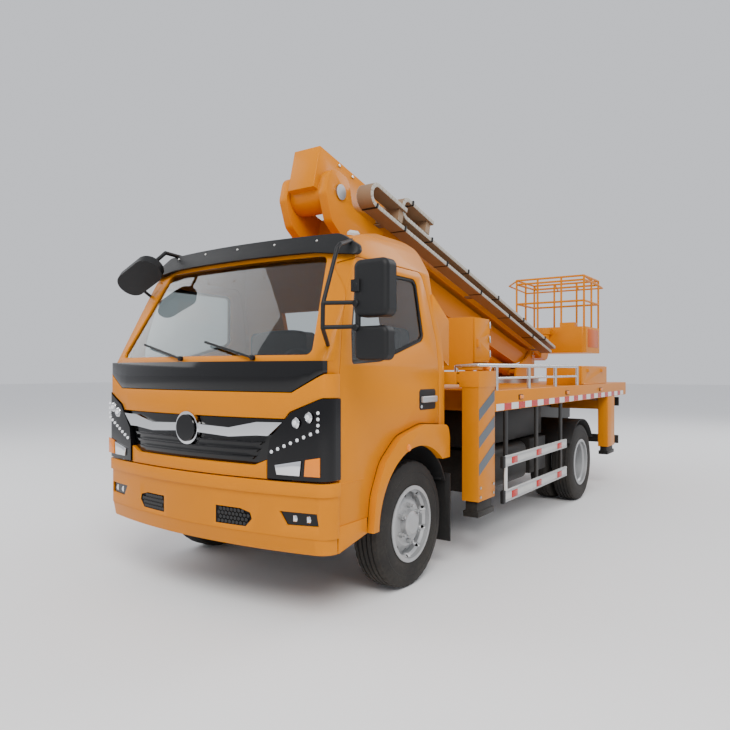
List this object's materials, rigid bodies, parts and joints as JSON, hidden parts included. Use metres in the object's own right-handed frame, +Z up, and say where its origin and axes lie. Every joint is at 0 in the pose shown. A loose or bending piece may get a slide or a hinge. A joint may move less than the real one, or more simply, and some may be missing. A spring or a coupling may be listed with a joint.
{
  "type": "telescopic boom lift truck",
  "caption": "Two-axle forward-control truck carrying outriggers, a slewing turret, a folding and telescoping boom and a work basket.",
  "frame": {"origin": "on the ground at the middle of the footprint", "axes": "-Y towards the front of the truck, +X towards its left side, +Z up"},
  "size_m": [2.411, 7.341, 2.9452],
  "materials": {
    "black_paint": "satin paint",
    "cast": "cast",
    "chain_plastic": "moulded links",
    "chrome": "bright",
    "dark_plastic": "moulded",
    "glass": "clear",
    "gloss_black": "gloss",
    "grey_paint": "satin paint",
    "interior": "trim",
    "lamp": "clear over black",
    "rubber": "tread rubber",
    "stainless": "brushed",
    "steel": "machined",
    "wheel_silver": "silver paint",
    "yellow_paint": "gloss paint"
  },
  "bodies": {
    "chassis": {"arches": "dark_plastic", "bumper": "yellow_paint", "cab_body": "yellow_paint", "cab_interior": "interior", "cabinet": "yellow_paint", "deck": "yellow_paint", "engine_block": "cast", "frame": "black_paint", "front_axle": "cast", "front_lamps": "lamp", "grille": "gloss_black", "grille_trim": "chrome", "handrails": "stainless", "mirrors": "dark_plastic", "mudguards": "dark_plastic", "outrigger_frame": "yellow_paint", "rear_axle": "cast", "rear_guard": "black_paint", "side_guards": "grey_paint", "slew_ring": "steel", "springs": "cast", "tanks": "black_paint", "visor": "dark_plastic", "windscreen": "glass", "wipers": "dark_plastic"},
    "knuckle_left": {"knuckle_left": "cast"},
    "knuckle_right": {"knuckle_right": "cast"},
    "wheel_front_left": {"front_tyre_left": "rubber", "front_wheel_left": "wheel_silver"},
    "wheel_front_right": {"front_tyre_right": "rubber", "front_wheel_right": "wheel_silver"},
    "wheel_rear_left": {"rear_tyres_left": "rubber", "rear_wheel_left": "wheel_silver"},
    "wheel_rear_right": {"rear_tyres_right": "rubber", "rear_wheel_right": "wheel_silver"},
    "door_left": {"door_left": "yellow_paint", "door_glass_left": "glass"},
    "door_right": {"door_right": "yellow_paint", "door_glass_right": "glass"},
    "outrigger_left": {"front_outrigger_left": "yellow_paint"},
    "outrigger_right": {"front_outrigger_right": "yellow_paint"},
    "leg_front_left": {"front_leg_left": "black_paint"},
    "leg_front_right": {"front_leg_right": "black_paint"},
    "leg_rear_left": {"rear_leg_left": "black_paint"},
    "leg_rear_right": {"rear_leg_right": "black_paint"},
    "cabinet_door": {"cabinet_door": "yellow_paint"},
    "deck_box_door": {"deck_box_door": "yellow_paint"},
    "turret": {"turret": "yellow_paint"},
    "lift_barrel": {"lift_barrel": "yellow_paint"},
    "lift_rod": {"lift_rod": "steel"},
    "lower_boom": {"lower_boom": "yellow_paint"},
    "knuckle_link": {"knuckle_pin": "steel"},
    "upper_boom": {"upper_boom": "yellow_paint", "energy_chains": "chain_plastic"},
    "boom_section_1": {"boom_section_1": "yellow_paint"},
    "boom_section_2": {"boom_section_2": "yellow_paint"},
    "basket_bracket": {"basket_bracket": "yellow_paint"},
    "basket": {"basket": "yellow_paint"}
  },
  "joints": [
    {"name": "steer_left", "type": "hinge", "parent": "chassis", "child": "knuckle_left", "pos_m": [0.6005, -2.67447, 0.3925], "axis": [0, 0, 1], "range_deg": [-33, 33]},
    {"name": "wheel_front_left_spin", "type": "hinge", "parent": "knuckle_left", "child": "wheel_front_left", "pos_m": [0.7355, -2.67447, 0.3925], "axis": [1, 0, 0], "continuous": true},
    {"name": "wheel_rear_left_spin", "type": "hinge", "parent": "chassis", "child": "wheel_rear_left", "pos_m": [0.7055, 0.65553, 0.3925], "axis": [1, 0, 0], "continuous": true},
    {"name": "door_left_hinge", "type": "hinge", "parent": "chassis", "child": "door_left", "pos_m": [0.8325, -3.42947, 1], "axis": [0, 0, -1], "range_deg": [0, 65]},
    {"name": "outrigger_left_slide", "type": "slide", "parent": "chassis", "child": "outrigger_left", "axis": [1, 0, 0], "range_m": [0, 0.9]},
    {"name": "leg_front_left_slide", "type": "slide", "parent": "outrigger_left", "child": "leg_front_left", "axis": [0, 0, -1], "range_m": [0, 0.33]},
    {"name": "leg_rear_left_slide", "type": "slide", "parent": "chassis", "child": "leg_rear_left", "axis": [0, 0, -1], "range_m": [0, 0.38]},
    {"name": "steer_right", "type": "hinge", "parent": "chassis", "child": "knuckle_right", "pos_m": [-0.7995, -2.67447, 0.3925], "axis": [0, 0, 1], "range_deg": [-33, 33]},
    {"name": "wheel_front_right_spin", "type": "hinge", "parent": "knuckle_right", "child": "wheel_front_right", "pos_m": [-0.9345, -2.67447, 0.3925], "axis": [1, 0, 0], "continuous": true},
    {"name": "wheel_rear_right_spin", "type": "hinge", "parent": "chassis", "child": "wheel_rear_right", "pos_m": [-0.9045, 0.65553, 0.3925], "axis": [1, 0, 0], "continuous": true},
    {"name": "door_right_hinge", "type": "hinge", "parent": "chassis", "child": "door_right", "pos_m": [-1.0315, -3.42947, 1], "axis": [0, 0, 1], "range_deg": [0, 65]},
    {"name": "outrigger_right_slide", "type": "slide", "parent": "chassis", "child": "outrigger_right", "axis": [-1, 0, 0], "range_m": [0, 0.9]},
    {"name": "leg_front_right_slide", "type": "slide", "parent": "outrigger_right", "child": "leg_front_right", "axis": [0, 0, -1], "range_m": [0, 0.33]},
    {"name": "leg_rear_right_slide", "type": "slide", "parent": "chassis", "child": "leg_rear_right", "axis": [0, 0, -1], "range_m": [0, 0.38]},
    {"name": "cabinet_door_hinge", "type": "hinge", "parent": "chassis", "child": "cabinet_door", "pos_m": [0.7608, -1.34747, 1.555], "axis": [0, 0, 1], "range_deg": [0, 110]},
    {"name": "deck_box_door_hinge", "type": "hinge", "parent": "chassis", "child": "deck_box_door", "pos_m": [0.9668, 1.00553, 1.206], "axis": [0, 1, 0], "range_deg": [0, 90]},
    {"name": "turret_slew", "type": "hinge", "parent": "chassis", "child": "turret", "pos_m": [-0.0995, 1.32553, 1.25], "axis": [0, 0, 1], "continuous": true},
    {"name": "boom_lift", "type": "hinge", "parent": "turret", "child": "lower_boom", "pos_m": [-0.0995, 1.55722, 1.52727], "axis": [-1, 0, 0], "range_deg": [0, 66]},
    {"name": "lift_barrel_pivot", "type": "hinge", "parent": "turret", "child": "lift_barrel", "pos_m": [-0.0995, 1.14553, 1.335], "axis": [-1, 0, 0], "range_deg": [0, 70.21]},
    {"name": "lift_rod_slide", "type": "slide", "parent": "lift_barrel", "child": "lift_rod", "axis": [0, -0.9671, 0.2544], "range_m": [0, 0.4786]},
    {"name": "knuckle_link_level", "type": "hinge", "parent": "lower_boom", "child": "knuckle_link", "pos_m": [-0.0995, -2.47447, 2.62], "axis": [1, 0, 0], "range_deg": [0, 66]},
    {"name": "boom_unfold", "type": "hinge", "parent": "knuckle_link", "child": "upper_boom", "pos_m": [-0.0995, -2.47447, 2.62], "axis": [1, 0, 0], "range_deg": [0, 98]},
    {"name": "section_1_slide", "type": "slide", "parent": "upper_boom", "child": "boom_section_1", "axis": [0, 0.9697, -0.2442], "range_m": [0, 3.4]},
    {"name": "section_2_slide", "type": "slide", "parent": "boom_section_1", "child": "boom_section_2", "axis": [0, 0.9697, -0.2442], "range_m": [0, 3.4]},
    {"name": "basket_level", "type": "hinge", "parent": "boom_section_2", "child": "basket_bracket", "pos_m": [-0.0995, 2.36347, 1.5614], "axis": [-1, 0, 0], "range_deg": [0, 98]},
    {"name": "basket_swing", "type": "hinge", "parent": "basket_bracket", "child": "basket", "pos_m": [-0.0995, 2.54047, 1.76], "axis": [0, 0, 1], "range_deg": [-60, 60]}
  ],
  "couplings": [
    {"joint": "steer_right", "follows": "steer_left", "ratio": 1},
    {"joint": "knuckle_link_level", "follows": "boom_lift", "ratio": 1},
    {"joint": "lift_barrel_pivot", "follows": "boom_lift", "ratio": 1.0636},
    {"joint": "lift_rod_slide", "follows": "boom_lift", "m_per_rad": 0.41502},
    {"joint": "section_2_slide", "follows": "section_1_slide", "ratio": 1},
    {"joint": "basket_level", "follows": "boom_unfold", "ratio": 1}
  ]
}
